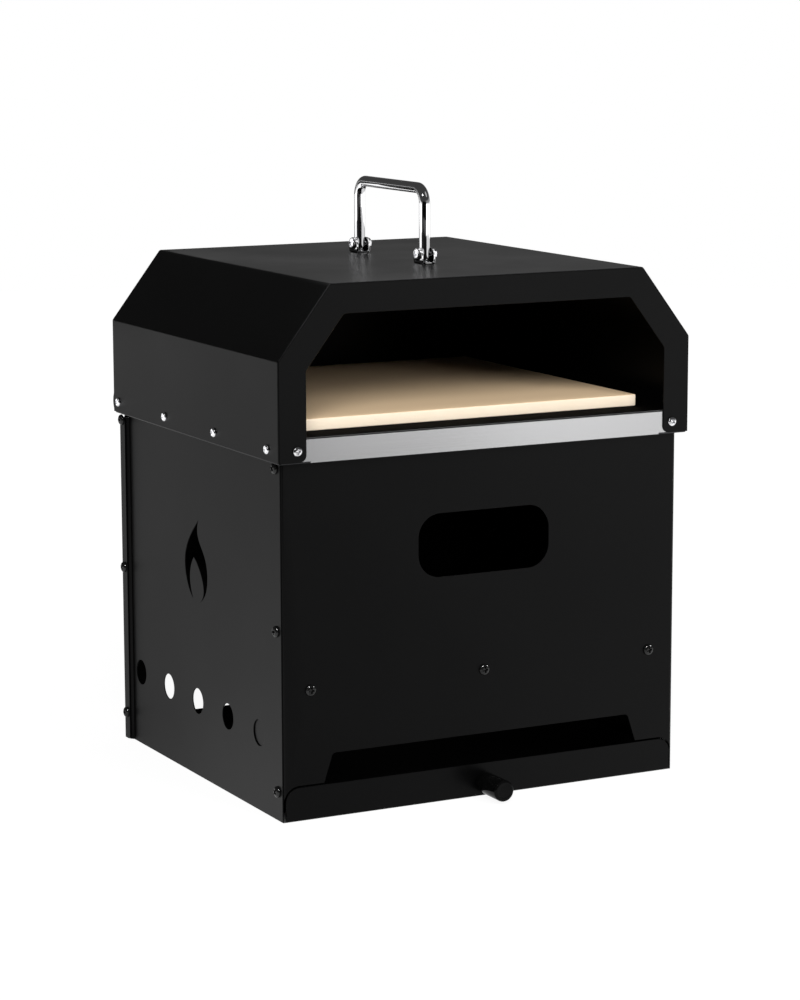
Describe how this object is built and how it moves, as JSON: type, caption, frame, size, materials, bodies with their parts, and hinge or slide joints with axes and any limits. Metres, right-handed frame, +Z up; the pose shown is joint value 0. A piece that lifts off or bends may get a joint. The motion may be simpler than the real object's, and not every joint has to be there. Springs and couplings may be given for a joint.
{
  "type": "portable pizza oven",
  "caption": "Sheet-metal pizza oven with a stone under a chamfered hood, lifting off a charcoal firebox with a window, side vents and a slide-out ash tray.",
  "frame": {"origin": "on the ground below the middle of the whole object's box", "axes": "+Z up, the mouth, window and ash tray face -Y, +X to the right seen from the front"},
  "size_m": [0.3952, 0.379, 0.515],
  "materials": {
    "powder_coat": "matt black powder coat",
    "floor_steel": "brushed",
    "handle_chrome": "polished",
    "bright_zinc": "bright zinc plate",
    "black_screw": "semi-gloss black",
    "grate_wire": "bright plated wire",
    "baking_stone": "porous cordierite",
    "knob_plastic": "gloss black"
  },
  "bodies": {
    "firebox": {"firebox_front_panel": "powder_coat", "firebox_back_panel": "powder_coat", "firebox_left_panel": "powder_coat", "firebox_right_panel": "powder_coat", "grate_support_front": "powder_coat", "grate_support_back": "powder_coat", "tray_guide_left": "powder_coat", "tray_guide_right": "powder_coat", "firebox_side_screws": "black_screw", "firebox_side_nuts": "bright_zinc", "grate_support_screws": "black_screw", "grate_support_nuts": "bright_zinc"},
    "oven": {"hood_shell": "powder_coat", "hood_front_frame": "powder_coat", "hood_back_panel": "powder_coat", "oven_floor_frame": "floor_steel", "handle_rod": "handle_chrome", "handle_clevis_front": "handle_chrome", "handle_clevis_rear": "handle_chrome", "handle_rivets": "bright_zinc", "handle_cross_screws": "bright_zinc", "handle_cross_nuts": "bright_zinc", "hood_side_screws": "bright_zinc", "hood_front_screws": "bright_zinc", "hood_back_screws": "bright_zinc", "hood_nuts": "bright_zinc"},
    "stone": {"pizza_stone": "baking_stone"},
    "coal_grate": {"charcoal_grate": "grate_wire"},
    "ash_tray": {"ash_pan_floor": "powder_coat", "ash_pan_rim": "powder_coat", "ash_tray_front": "powder_coat", "ash_tray_knob": "knob_plastic", "ash_tray_knob_screw": "bright_zinc"}
  },
  "joints": [
    {"name": "oven_lift", "type": "slide", "parent": "firebox", "child": "oven", "axis": [0, 0, 1], "range_m": [0, 0.12]},
    {"name": "stone_slide", "type": "slide", "parent": "oven", "child": "stone", "axis": [0, -1, 0], "range_m": [0, 0.345]},
    {"name": "coal_grate_lift", "type": "slide", "parent": "firebox", "child": "coal_grate", "axis": [0, 0, 1], "range_m": [0, 0.18]},
    {"name": "ash_tray_slide", "type": "slide", "parent": "firebox", "child": "ash_tray", "axis": [0, -1, 0], "range_m": [0, 0.33]}
  ]
}
